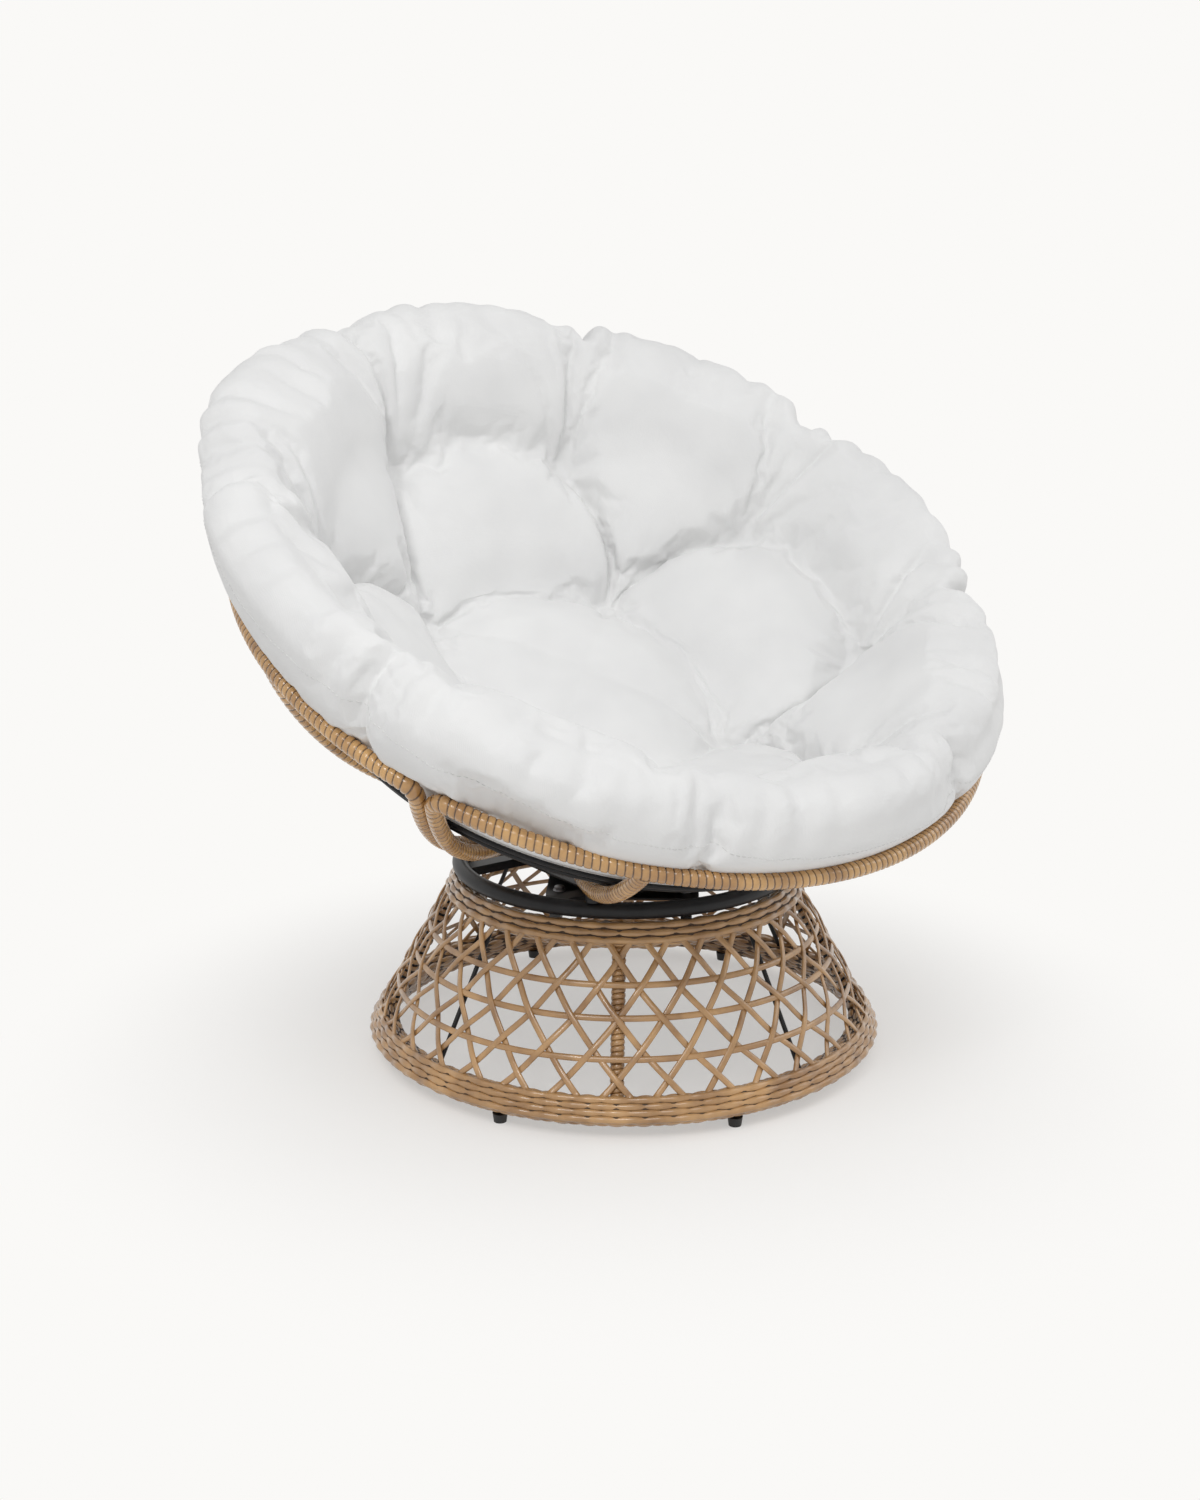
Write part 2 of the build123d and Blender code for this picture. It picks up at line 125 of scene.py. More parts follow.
# Materials
def new_material(name, color, roughness, metallic=0.0):
    material = bpy.data.materials.new(name)
    material.use_nodes = True
    shader = material.node_tree.nodes["Principled BSDF"]
    shader.inputs["Base Color"].default_value = (*color, 1)
    shader.inputs["Roughness"].default_value = roughness
    shader.inputs["Metallic"].default_value = metallic
    return material, material.node_tree.nodes, material.node_tree.links, shader


def ramp(nodes, low, high, low_place=0.0, high_place=1.0):
    node = nodes.new("ShaderNodeValToRGB")
    node.color_ramp.elements[0].position = low_place
    node.color_ramp.elements[0].color = (*low, 1)
    node.color_ramp.elements[1].position = high_place
    node.color_ramp.elements[1].color = (*high, 1)
    return node


def add_noise(nodes, links, vector, scale, detail=3.0):
    node = nodes.new("ShaderNodeTexNoise")
    node.inputs["Scale"].default_value = scale
    node.inputs["Detail"].default_value = detail
    links.new(vector, node.inputs["Vector"])
    return node.outputs["Fac"]


def add_bump(nodes, links, height, shader, strength, distance):
    node = nodes.new("ShaderNodeBump")
    node.inputs["Strength"].default_value = strength
    node.inputs["Distance"].default_value = distance
    links.new(height, node.inputs["Height"])
    links.new(node.outputs["Normal"], shader.inputs["Normal"])


def wicker_material(name, dark, light, groove_shade, roughness):
    """Resin strand: its colour changes from place to place, and painted shade darkens it along a strand's
    edges and between the turns of a wound strand.
    """
    material, nodes, links, shader = new_material(name, light, roughness)
    uv = nodes.new("ShaderNodeUVMap").outputs["UV"]
    place = nodes.new("ShaderNodeTexCoord").outputs["Object"]
    split = nodes.new("ShaderNodeSeparateXYZ")
    links.new(uv, split.inputs["Vector"])
    patches = add_noise(nodes, links, place, 26.0)
    fibres = add_noise(nodes, links, place, 420.0, 2.0)
    colours = ramp(nodes, dark, light, 0.32, 0.68)
    links.new(patches, colours.inputs["Fac"])
    across = nodes.new("ShaderNodeMath")
    across.operation = "FRACT"
    links.new(split.outputs["X"], across.inputs[0])
    edge = nodes.new("ShaderNodeMath")
    edge.operation = "PINGPONG"
    edge.inputs[1].default_value = 0.5
    links.new(across.outputs["Value"], edge.inputs[0])
    # Painted shade: where U comes near a whole number the colour darkens to the groove colour, along a
    # strand's edges and between the turns of a wound strand.
    shade = ramp(nodes, groove_shade, (1, 1, 1), 0.02, 0.14)
    links.new(edge.outputs["Value"], shade.inputs["Fac"])
    mixed = nodes.new("ShaderNodeMix")
    mixed.data_type = "RGBA"
    mixed.blend_type = "MULTIPLY"
    mixed.inputs["Factor"].default_value = 1.0
    links.new(colours.outputs["Color"], mixed.inputs["A"])
    links.new(shade.outputs["Color"], mixed.inputs["B"])
    links.new(mixed.outputs["Result"], shader.inputs["Base Color"])
    shader.inputs["Coat Weight"].default_value = 0.7
    shader.inputs["Coat Roughness"].default_value = 0.13
    add_bump(nodes, links, fibres, shader, 0.25, 0.0006)
    return material


def fabric_material():
    material, nodes, links, shader = new_material("cushion_fabric", (0.80, 0.80, 0.795), 0.85)
    shader.inputs["Sheen Weight"].default_value = 0.25
    shader.inputs["Sheen Roughness"].default_value = 0.5
    place = nodes.new("ShaderNodeTexCoord").outputs["Object"]
    threads = []
    for direction in ("X", "Y"):
        wave = nodes.new("ShaderNodeTexWave")
        wave.bands_direction = direction
        wave.inputs["Scale"].default_value = 210.0
        wave.inputs["Distortion"].default_value = 1.5
        links.new(place, wave.inputs["Vector"])
        threads.append(wave.outputs["Fac"])
    weave = nodes.new("ShaderNodeMath")
    weave.operation = "MULTIPLY"
    links.new(threads[0], weave.inputs[0])
    links.new(threads[1], weave.inputs[1])
    creases = add_noise(nodes, links, place, 34.0, 4.0)
    height = nodes.new("ShaderNodeMath")
    height.operation = "MULTIPLY_ADD"
    height.inputs[1].default_value = 0.12
    links.new(weave.outputs["Value"], height.inputs[0])
    links.new(creases, height.inputs[2])
    add_bump(nodes, links, height.outputs["Value"], shader, 0.22, 0.004)
    tint = ramp(nodes, (0.77, 0.77, 0.768), (0.83, 0.83, 0.825), 0.3, 0.7)
    links.new(add_noise(nodes, links, place, 9.0, 2.0), tint.inputs["Fac"])
    links.new(tint.outputs["Color"], shader.inputs["Base Color"])
    return material


def speckled_material(name, color, roughness, metallic, grain, strength):
    """Painted, plated or moulded surface with a fine orange-peel or grain and slightly uneven colour."""
    material, nodes, links, shader = new_material(name, color, roughness, metallic)
    place = nodes.new("ShaderNodeTexCoord").outputs["Object"]
    lighter = tuple(min(1.0, 1.35 * c + 0.004) for c in color)
    tint = ramp(nodes, color, lighter, 0.35, 0.75)
    links.new(add_noise(nodes, links, place, 30.0), tint.inputs["Fac"])
    links.new(tint.outputs["Color"], shader.inputs["Base Color"])
    add_bump(nodes, links, add_noise(nodes, links, place, grain), shader, strength, 0.0004)
    return material


# The groove colours below are painted shade for the lines between turns and the edges of strands.
bowl_wicker = wicker_material(
    "bowl_wicker", dark=(0.40, 0.205, 0.07), light=(0.66, 0.385, 0.145),
    groove_shade=(0.13, 0.10, 0.08), roughness=0.22)
stand_wicker = wicker_material(
    "stand_wicker", dark=(0.31, 0.16, 0.06), light=(0.56, 0.325, 0.135),
    groove_shade=(0.3, 0.25, 0.2), roughness=0.33)
# Painted shade: the band solids under the woven strands get a near-black brown, the stand wicker's colour
# in shade, so the gaps between the strands look shaded.
band_shade_fill = speckled_material("band_shade_fill", (0.045, 0.025, 0.012), 0.7, 0.0, 300.0, 0.3)
black_steel = speckled_material("black_steel", (0.010, 0.010, 0.011), 0.40, 0.0, 500.0, 0.15)
black_steel.node_tree.nodes["Principled BSDF"].inputs["Specular IOR Level"].default_value = 0.3
bolt_steel = speckled_material("bolt_steel", (0.32, 0.32, 0.33), 0.35, 1.0, 700.0, 0.1)
foot_plastic = speckled_material("foot_plastic", (0.015, 0.015, 0.015), 0.5, 0.0, 900.0, 0.3)
bearing_nylon = speckled_material("bearing_nylon", (0.72, 0.72, 0.68), 0.5, 0.0, 400.0, 0.1)
cushion_fabric = fabric_material()
thread = speckled_material("thread", (0.62, 0.62, 0.61), 0.7, 0.0, 1500.0, 0.3)
slot_materials = {
    "black_steel": black_steel,
    "bolt_steel": bolt_steel,
    "bowl_wicker": bowl_wicker,
    "stand_wicker": band_shade_fill,
    "foot_plastic": foot_plastic,
    "bearing_nylon": bearing_nylon,
    "cushion_fabric": cushion_fabric,
}
for part in frame["record"]["subparts"]:
    node = frame["nodes"][part["node"]]
    node.data.materials.clear()
    node.data.materials.append(slot_materials[part["material_slot"]])


# Meshes
def make_object(name, parts, material, body, place=None, replaced=()):
    """One object from swept parts, each with its points, faces and a UV for each face corner."""
    points = []
    faces = []
    uvs = []
    shift = 0
    for part_points, part_faces, part_uvs in parts:
        points.append(part_points)
        faces += [[index + shift for index in face] for face in part_faces]
        uvs.append(part_uvs)
        shift += len(part_points)
    mesh = bpy.data.meshes.new(name)
    mesh.from_pydata(np.vstack(points).tolist(), [], faces)
    mesh.uv_layers.new(name="UVMap").data.foreach_set("uv", np.vstack(uvs).ravel())
    mesh.polygons.foreach_set("use_smooth", [True] * len(faces))
    if place is not None:
        mesh.transform(place)
    mesh.materials.append(material)
    mesh.update()
    piece = bpy.data.objects.new(name, mesh)
    bpy.context.scene.collection.objects.link(piece)
    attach(piece, body)
    if replaced:
        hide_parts(*replaced)
    return piece


def lengths(points, loop=False):
    """Distance along a line of points, with the way back to the start if it is a loop."""
    ends = np.vstack((points, points[:1])) if loop else points
    steps = np.linalg.norm(np.diff(ends, axis=0), axis=1)
    return np.concatenate(([0.0], np.cumsum(steps)))


def resample(points, spacing, loop=False):
    run = lengths(points, loop)
    ends = np.vstack((points, points[:1])) if loop else points
    count = max(int(round(run[-1] / spacing)), 2)
    marks = np.linspace(0, run[-1], count + 1)
    if loop:
        marks = marks[:-1]
    return np.stack([np.interp(marks, run, ends[:, axis]) for axis in range(3)], axis=1)


def unit(vectors):
    return vectors / np.linalg.norm(vectors, axis=-1, keepdims=True)


def sweep(points, outs, section, loop=False, phase=None):
    """Points, faces and UVs of a section swept along a line. A section point is (out, side)."""
    count = len(points)
    size = section.shape[-2]
    tangents = np.roll(points, -1, axis=0) - np.roll(points, 1, axis=0)
    if not loop:
        tangents[0] = points[1] - points[0]
        tangents[-1] = points[-1] - points[-2]
    tangents = unit(tangents)
    outs = unit(outs - tangents * np.sum(outs * tangents, axis=1, keepdims=True))
    sides = np.cross(tangents, outs)
    section = np.broadcast_to(section, (count, size, 2))
    swept = points[:, None] + section[..., :1] * outs[:, None] + section[..., 1:] * sides[:, None]
    rows = np.arange(count if loop else count - 1)
    near, far = rows[:, None] * size, ((rows + 1) % count)[:, None] * size
    column = np.arange(size)[None, :]
    follow = (column + 1) % size
    faces = np.stack((near + column, far + column, far + follow, near + follow), axis=-1)
    faces = faces.reshape(-1, 4).tolist()
    v0, v1 = column / size, (column + 1) / size
    # Painted shade rides on U: a plain strand's U dips towards its sides, and a wound tube's U follows the
    # wrap, so the wicker material darkens the edges and the lines between turns.
    if phase is None:
        edge0, edge1 = (0.5 - edge_shade_depth * np.sin(2 * math.pi * v) ** edge_shade_power for v in (v0, v1))
        corners = [(edge0, v0), (edge0, v0), (edge1, v1), (edge1, v1)]
    else:
        u0, u1 = phase[rows][:, None], phase[rows + 1][:, None]
        corners = [(u0 - v0, v0), (u1 - v0, v0), (u1 - v1, v1), (u0 - v1, v1)]
    shape = (len(rows), size)
    spread = [[np.broadcast_to(share, shape) for share in corner] for corner in corners]
    uvs = np.stack([np.stack(corner, axis=-1) for corner in spread], axis=2).reshape(-1, 2)
    if not loop:
        faces += [list(range(size))[::-1], list(range((count - 1) * size, count * size))]
        uvs = np.vstack((uvs, np.full((2 * size, 2), 0.5)))
    return swept.reshape(-1, 3), faces, uvs


def round_section(out, side, size):
    turns = 2 * math.pi * np.arange(size) / size
    return np.stack((out * np.cos(turns), side * np.sin(turns)), axis=-1)


def wound_tube(points, outs_from, radius, size=14, loop=False):
    """Tube wound tightly with a flat strand: the line between two turns is sunk in, and the wicker material
    paints shade along it.
    """
    line = resample(points, wrap_step, loop)
    ends = np.append(line[:, 2], line[0, 2]) if loop else line[:, 2]
    pitches = np.where((ends[:-1] + ends[1:]) / 2 < -corner_bend, rib_pitch, rim_pitch)
    phase = np.append(0.0, np.cumsum(np.diff(lengths(line, loop)) / pitches))
    phase *= round(phase[-1]) / phase[-1]
    share = (phase[:len(line), None] - np.arange(size)[None, :] / size) % 1.0
    radii = radius - wrap_groove * np.abs(2 * share - 1) ** groove_power
    section = radii[..., None] * round_section(1, 1, size)[None]
    return sweep(line, line - outs_from, section, loop, phase)


# Stand
def slope_points(angles, distance, offset):
    """Points on the stand's slope, at a distance down from the top ring and an offset outward."""
    radius = top_ring_radius + along[0] * distance + outward[0] * offset
    height = top_ring_height + along[1] * distance + outward[1] * offset
    turns = np.radians(angles)
    return np.stack((radius * np.sin(turns), -radius * np.cos(turns), height + 0 * turns), axis=-1)


def slope_normals(angles, down, out):
    """Directions on the slope that are down parts of the way down and out parts outward."""
    level = along[0] * down + outward[0] * out
    rise = along[1] * down + outward[1] * out
    turns = np.radians(angles)
    return np.stack((level * np.sin(turns), -level * np.cos(turns), rise + 0 * turns), axis=-1)


def band_row(distance, offset, down, out, phase):
    """One strand of a woven band, which goes in and out round the band's stakes."""
    waves = round(2 * math.pi * (top_ring_radius + along[0] * distance) / band_wave)
    angles = np.linspace(0, 360, waves * 10, endpoint=False)
    wave = band_swing * np.cos(np.radians(angles) * waves + phase * math.pi)
    normals = slope_normals(angles, down, out)
    points = slope_points(angles, distance, offset) + normals * wave[:, None]
    return sweep(points, normals, round_section(*band_strand, 8), loop=True)


def make_band(name, middle, reach, rows):
    strands = []
    for row in range(rows):
        place = middle + (2 * (row + 0.5) / rows - 1) * (reach - row_inset)
        strands.append(band_row(place, band_outer - band_sink, 0, 1, row % 2))
        strands.append(band_row(place, -band_inner + band_sink, 0, -1, row % 2))
    for side in (-1, 1):
        place = middle + side * (reach - edge_row_inset)
        for number, offset in enumerate(edge_row_offsets):
            strands.append(band_row(place, offset, side, 0, number % 2))
    make_object(name, strands, stand_wicker, "stand", stand_place)


def strand_section():
    return round_section(strand_thickness / 2, strand_width / 2, 10)


def woven_strand(angle, lean):
    """Strand of the open weave: it swings out where it passes over a strand that leans the other way."""
    shares = np.linspace(0, 1, 37)
    crossings = (shares - 0.5) * 2 * strand_sweep * strand_count / 360
    offsets = weave_middle + lean * weave_swing * np.cos(math.pi * crossings)
    angles = angle + lean * strand_sweep * (shares - 0.5)
    distances = free_start - strand_lap + shares * (free_end - free_start + 2 * strand_lap)
    points = slope_points(angles, distances, offsets)
    return sweep(points, slope_normals(angles, 0, 1), strand_section())


def make_weave():
    for side, lean in (("right", 1), ("left", -1)):
        strands = [woven_strand(360 * number / strand_count, lean) for number in range(strand_count)]
        make_object(f"woven_strands_{side}", strands, stand_wicker, "stand", stand_place,
                    (f"weave_strands_{side}",))
    angles = np.linspace(0, 360, 192, endpoint=False)
    for level, place in zip(levels, hoop_places):
        distance = free_start + place * (free_end - free_start)
        points = slope_points(angles, distance, weave_middle)
        hoop = sweep(points, slope_normals(angles, 0, 1), strand_section(), loop=True)
        make_object(f"{level}_woven_hoop", [hoop], stand_wicker, "stand", stand_place,
                    (f"{level}_weave_hoop",))


def post_wrap(angle, pitch):
    """Flat strand wound round a post."""
    start = slope_points(np.array(angle), free_start - wrap_lap, 0.0)
    end = slope_points(np.array(angle), free_end + wrap_lap, 0.0)
    axis = unit(end - start)
    out = slope_normals(np.array(angle), 0, 1)
    side = np.cross(axis, out)
    run = np.linalg.norm(end - start)
    turns = np.linspace(0, 2 * math.pi * run / pitch, int(run / pitch * 18))
    spokes = out[None] * np.cos(turns)[:, None] + side[None] * np.sin(turns)[:, None]
    middle = (post_radius + post_wrap_radius) / 2
    points = start[None] + axis[None] * (turns / turns[-1] * run)[:, None] + middle * spokes
    return sweep(points, spokes, round_section(*post_strand, 8))


def make_posts():
    wraps = [post_wrap(index * 90.0, pitch) for index, pitch in enumerate(post_pitches)]
    make_object("wound_post_wraps", wraps, stand_wicker, "stand", stand_place,
                ("post_wraps",))


# Bowl
def on_bowl(angles, polars, radius):
    turns, leans = np.broadcast_arrays(np.radians(angles), np.radians(polars))
    level = radius * np.sin(leans)
    height = sphere_middle - radius * np.cos(leans)
    return np.stack((level * np.sin(turns), -level * np.cos(turns), height), axis=-1)


def around(angle):
    turn = math.radians(angle)
    return np.array((math.sin(turn), -math.cos(turn), 0)), np.array((math.cos(turn), math.sin(turn), 0))


def tangent_arc(start, tangent, end, count=40):
    chord = end - start
    across = unit(chord - tangent * chord.dot(tangent))
    radius = chord.dot(chord) / (2 * chord.dot(across))
    turns = np.linspace(0, 2 * math.atan2(chord.dot(across), chord.dot(tangent)), count)[:, None]
    return start + radius * (np.sin(turns) * tangent + (1 - np.cos(turns)) * across)


def section_side(seam, lean):
    """Line of a section beside a seam, from its rim round the bend and down its end rib."""
    out, side = around(seam)
    turn = (double_rib_offset + corner_bend) / rim_radius
    rim_out, rim_side = around(seam + lean * math.degrees(turn))
    rim_end = rim_out * rim_radius
    to_seam = rim_side * -lean
    bend = (rim_radius * math.sin(turn) - double_rib_offset) / math.cos(turn)
    polar = math.radians(rim_polar)
    down = out * -math.cos(polar) + np.array((0, 0, -math.sin(polar)))
    rib_top = rim_end + to_seam * bend + down * bend
    rib_end = on_bowl(seam, hub_polar + rib_foot_gap, sphere_radius) + side * (lean * double_rib_offset)
    bend_line = tangent_arc(rim_end, to_seam, rib_top, 16)
    return np.vstack((bend_line, tangent_arc(rib_top, down, rib_end)[1:]))


def make_bowl():
    middle = np.array((0, 0, sphere_middle))
    for name, angle in zip(section_names, section_middles):
        start = section_side(angle - section_span / 2, 1)
        end = section_side(angle + section_span / 2, -1)
        half_rim = section_span / 2 - math.degrees((double_rib_offset + corner_bend) / rim_radius)
        rim = on_bowl(np.linspace(angle - half_rim, angle + half_rim, 120), rim_polar, sphere_radius)
        line = np.vstack((start[::-1], rim[1:-1], end))
        tube = wound_tube(line, middle, tube_radius)
        make_object(f"wound_{name}_section", [tube], bowl_wicker, "seat", bowl_place,
                    (f"{name}_bowl_section",))
    ribs = []
    rib_polars = np.linspace(rim_polar - rib_top_gap, hub_polar + rib_foot_gap, 60)
    for angle in section_middles:
        for turn in (-rib_turn, rib_turn):
            line = on_bowl(angle + turn, rib_polars, sphere_radius)
            ribs.append(wound_tube(line, middle, tube_radius))
    make_object("wound_single_ribs", ribs, bowl_wicker, "seat", bowl_place,
                ("single_ribs",))
    circle = np.linspace(0, 360, 240, endpoint=False)
    hub = wound_tube(on_bowl(circle, hub_polar, sphere_radius), middle, hub_tube_radius, loop=True)
    make_object("wound_hub_ring", [hub], bowl_wicker, "seat", bowl_place, ("hub_ring",))
    for level, polar in zip(levels, hoop_polars):
        line = on_bowl(circle, polar, hoop_sphere)
        hoop = sweep(line, line - middle, round_section(hoop_radius, hoop_radius, 10), loop=True)
        make_object(f"{level}_bowl_rod", [hoop], black_steel, "seat", bowl_place,
                    (f"{level}_bowl_hoop",))


def make_swivel_ring():
    angles = np.radians(np.linspace(0, 360, 160, endpoint=False))
    level = np.stack((np.sin(angles), -np.cos(angles), 0 * angles), axis=-1)
    line = swivel_ring_radius * level + np.array((0, 0, swivel_ring_height))
    ring = sweep(line, level, round_section(swivel_tube_radius, swivel_tube_radius, 20), loop=True)
    make_object("round_swivel_ring", [ring], black_steel, "seat", None, ("swivel_ring",))


def bolt_part():
    """Hexagon bolt head with a chamfered top, on a round washer, along Z from its seat."""
    turns = 2 * math.pi * np.arange(bolt_sides) / bolt_sides
    flat = np.cos(math.pi / 6) / np.cos((turns % (math.pi / 3)) - math.pi / 6)
    top = washer_height + head_height
    rings = []
    for radius, height, hexagon in (
        (washer_radius, 0.0, False),
        (washer_radius, washer_height, False),
        (head_radius * 0.98, washer_height, True),
        (head_radius, washer_height + 0.0004, True),
        (head_radius, top - 0.0008, True),
        (head_radius * 0.88, top, False),
    ):
        reach = radius * (flat if hexagon else 1.0 + 0 * flat)
        rings.append(np.stack((reach * np.cos(turns), reach * np.sin(turns), height + 0 * turns), axis=-1))
    faces = []
    for row in range(len(rings) - 1):
        low, high = row * bolt_sides, (row + 1) * bolt_sides
        for column in range(bolt_sides):
            follow = (column + 1) % bolt_sides
            faces.append([low + column, low + follow, high + follow, high + column])
    faces.append(list(range((len(rings) - 1) * bolt_sides, len(rings) * bolt_sides)))
    corners = sum(len(face) for face in faces)
    return np.vstack(rings), faces, np.full((corners, 2), 0.5)


def moved(part, matrix):
    points, faces, uvs = part
    turned = points @ np.array(matrix.to_3x3()).T + np.array(matrix.translation)
    return turned, faces, uvs


def make_bolts():
    bolt = bolt_part()
    for name, body, place, spot, height in (
        ("lower_plate_bolts", "stand", stand_place, lower_bolt_spot, lower_bolts_height),
        ("upper_plate_bolts", "seat", None, upper_bolt_spot, upper_bolts_height),
    ):
        bolts = []
        for x in (-1, 1):
            for y in (-1, 1):
                bolts.append(moved(bolt, Matrix.Translation((x * spot[0], y * spot[1], height))))
        make_object(name, bolts, bolt_steel, body, place)


# Cushion
def smooth_line(knots, shares):
    """Catmull-Rom line through knots, at shares counted in knots."""
    knots = np.array(knots, float)
    padded = np.vstack((2 * knots[0] - knots[1], knots, 2 * knots[-1] - knots[-2]))
    index = np.clip(shares.astype(int), 0, len(knots) - 2)
    t = (shares - index)[:, None]
    a, b, c, d = (padded[index + step] for step in range(4))
    return 0.5 * (2 * b + (c - a) * t + (2 * a - 5 * b + 4 * c - d) * t**2 + (3 * b - a - 3 * c + d) * t**3)


# Half sections of the sewn cushion as radius and height: through a narrow lobe, a crease and a wide lobe
narrow_profile = (
    (0.0, -0.112), (0.098, -0.105), (0.180, -0.124), (0.238, -0.066), (0.308, -0.014), (0.375, 0.008),
    (0.391, 0.060), (0.420, 0.114), (0.466, 0.155), (0.494, 0.156), (0.513, 0.141), (0.524, 0.117),
    (0.528, 0.092), (0.5135, 0.068),
)
crease_profile = (
    (0.0, -0.112), (0.112, -0.118), (0.215, -0.150), (0.262, -0.114), (0.318, -0.078), (0.375, -0.042),
    (0.401, 0.016), (0.427, 0.074), (0.452, 0.126), (0.474, 0.128), (0.492, 0.116), (0.506, 0.098),
    (0.514, 0.081), (0.5120, 0.067),
)
wide_profile = (
    (0.0, -0.112), (0.112, -0.116), (0.215, -0.148), (0.258, -0.074), (0.312, -0.006), (0.375, 0.054),
    (0.399, 0.091), (0.430, 0.127), (0.466, 0.155), (0.494, 0.156), (0.513, 0.141), (0.524, 0.117),
    (0.528, 0.092), (0.5135, 0.068),
)
lobe_angle = 45.0
half_lobe = lobe_angle / 2
crease_angles = (45.0, 45.0, 45.0, 40.5, 32.5, 22.5)    # of the crease beside a narrow lobe, by knot
inner_crease_radius = 0.180
last_knot = len(narrow_profile) - 1
tuck_knot = 11              # below this knot the padded edge is tucked in over the rim
# Angle, push outward and narrowness of the places where the edge is pushed
edge_pushes = ((58.0, -0.026, 3), (110.0, 0.012, 6), (228.0, 0.018, 4))
push_knots = (7, 11)
# Where the edge lies inside the rim, how much higher it starts there, and the narrowness of that place
inside_angle, inside_lift, inside_narrowness = 54.0, 4.0, 3
sewn_share = 0.88           # how much of a lobe's height the cover has before it is stuffed
roundness = 0.6             # 0.5 would be half a circle from crease to crease
gather_knots = (6.0, 10.0, 13.0)        # the gathers along the edge start, are deepest and end here
gather_height = 0.0085
gather_least, gather_reach = 0.30, 9.0  # share in the middle of a lobe, and degrees beside a crease
gather_end = 0.35                       # share that is left where the gathers end
gather_out, gather_up = 0.6, 0.8
full_turn = 6.28
gather_counts = (37, 52, 61, 74)        # gathers round the edge, of a few lengths laid over each other
pucker_height, pucker_reach, pucker_counts, pucker_fade = 0.010, 0.085, (7, 10), 2.2
edge_shift, shift_direction = 0.014, (-0.80, 0.60)      # the padded edge leans over to one side
shift_heights = (-0.05, 0.12)
tuft_hold, crease_hold, hold_fade = 0.013, 0.16, 1.5
under_band = 0.004
cushion_turns, top_steps, under_steps = 360, 120, 36
cloth_grid = 0.0067
stuffing_pressure = 4.0
slack_cloth = 0.09          # how much larger the cover is cut than the sewn shape
stuffing_steps = 20
stuffing_cap = 0.015
seam_radius, seam_height = 0.525, 0.084
stitch_pitch, stitch_share, stitch_radius = 0.0068, 0.66, 0.00055
# Place along a stitch and rise above the cover, in thread radii
stitch_marks = ((0.0, -0.8), (0.3, 0.3), (0.7, 0.3), (1.0, -0.8))
seam_search = 1.2           # the seam is looked for from this many seam radii


def plan(radius, angle):
    turn = np.radians(angle)
    return np.stack((radius * np.sin(turn), -radius * np.cos(turn)), axis=-1)


def tufts():
    outer = plan(outer_tuft_radius, half_lobe + lobe_angle * np.arange(8))
    return np.vstack((outer, plan(inner_tuft_radius, lobe_angle + 90 * np.arange(4))))


def crease_lines():
    """Lines in plan along which the cover is drawn in."""
    lines = []
    knots = np.linspace(2, last_knot, 20)
    beside = np.interp(knots, np.arange(len(crease_angles)), crease_angles)
    radii = smooth_line(crease_profile, knots)[:, 0]
    turns = np.linspace(-1, 1, 9)
    inner = inner_crease_radius + (inner_tuft_radius - inner_crease_radius) * turns**2
    for quarter in range(4):
        for side in (-1, 1):
            lines.append(plan(radii, 90 * quarter + side * beside))
        lines.append(plan(inner, 90 * quarter + lobe_angle * turns))
        lines.append(plan(outer_tuft_radius, 90 * quarter + half_lobe * turns))
    return lines


def pin_weights(places):
    """How firmly the thread holds each place: fully at a tuft and partly along a crease."""
    total = np.zeros(len(places))
    for line in crease_lines():
        for start, end in zip(line[:-1], line[1:]):
            run = end - start
            share = np.clip((places - start) @ run / run.dot(run), 0, 1)
            gap = np.linalg.norm(places - start - share[:, None] * run, axis=-1)
            total = np.maximum(total, crease_hold * np.clip(hold_fade - gap / tuft_hold, 0, 1))
    for spot in tufts():
        total = np.where(np.linalg.norm(places - spot, axis=-1) < tuft_hold, 1.0, total)
    return total


def sewn_profiles(angles, knots):
    """Radius and height at each angle and knot, between a crease and the middle of a lobe."""
    profiles = (narrow_profile, crease_profile, wide_profile)
    narrow, crease, wide = (smooth_line(line, knots)[None] for line in profiles)
    beside = np.interp(knots, np.arange(len(crease_angles)), crease_angles)[None, :]
    from_narrow = np.abs((angles + lobe_angle) % 90 - lobe_angle)[:, None]
    in_narrow = from_narrow < beside
    in_wide = (lobe_angle - from_narrow) / np.maximum(lobe_angle - beside, 1e-6)
    place = np.where(in_narrow, from_narrow / beside, in_wide)
    fullness = (1 - np.clip(place, 0, 1) ** 2)[..., None] ** roundness
    return crease + sewn_share * fullness * (np.where(in_narrow[..., None], narrow, wide) - crease)


def pleat(turn):
    """Row of pleats with round tops and sharp valleys, of height 1 and mean 0."""
    return np.abs(np.sin(turn / 2)) - 2 / math.pi


def gathers(angles, knots):
    """Folds across the padded edge, where the cover is gathered into its seam."""
    chance = np.random.default_rng(11)
    turn = np.radians(angles)
    waves = sum(pleat(count * turn + chance.uniform(0, full_turn)) for count in gather_counts)
    from_crease = np.abs(angles % lobe_angle - half_lobe)
    strength = gather_least + np.exp(-((from_crease / gather_reach) ** 2))
    share = np.interp(knots, gather_knots, (0.0, 1.0, gather_end), left=0.0)
    return gather_height * (waves * strength)[:, None] * share[None, :]


def puckers(points):
    """Small folds that run out from each tuft."""
    chance = np.random.default_rng(5)
    lift = np.zeros(len(points))
    for spot in tufts():
        away = points[:, :2] - spot
        gap = np.linalg.norm(away, axis=1)
        turn = np.arctan2(away[:, 1], away[:, 0])
        folds = sum(pleat(count * turn + chance.uniform(0, full_turn)) for count in pucker_counts)
        lift += pucker_height * folds * (gap / pucker_reach) * np.exp(1 - pucker_fade * gap / pucker_reach)
    return lift


def towards(angles, angle, narrowness):
    """Share that is 1 at an angle and falls to 0 at right angles to it."""
    return np.clip(np.cos(np.radians(angles - angle)), 0, 1) ** narrowness


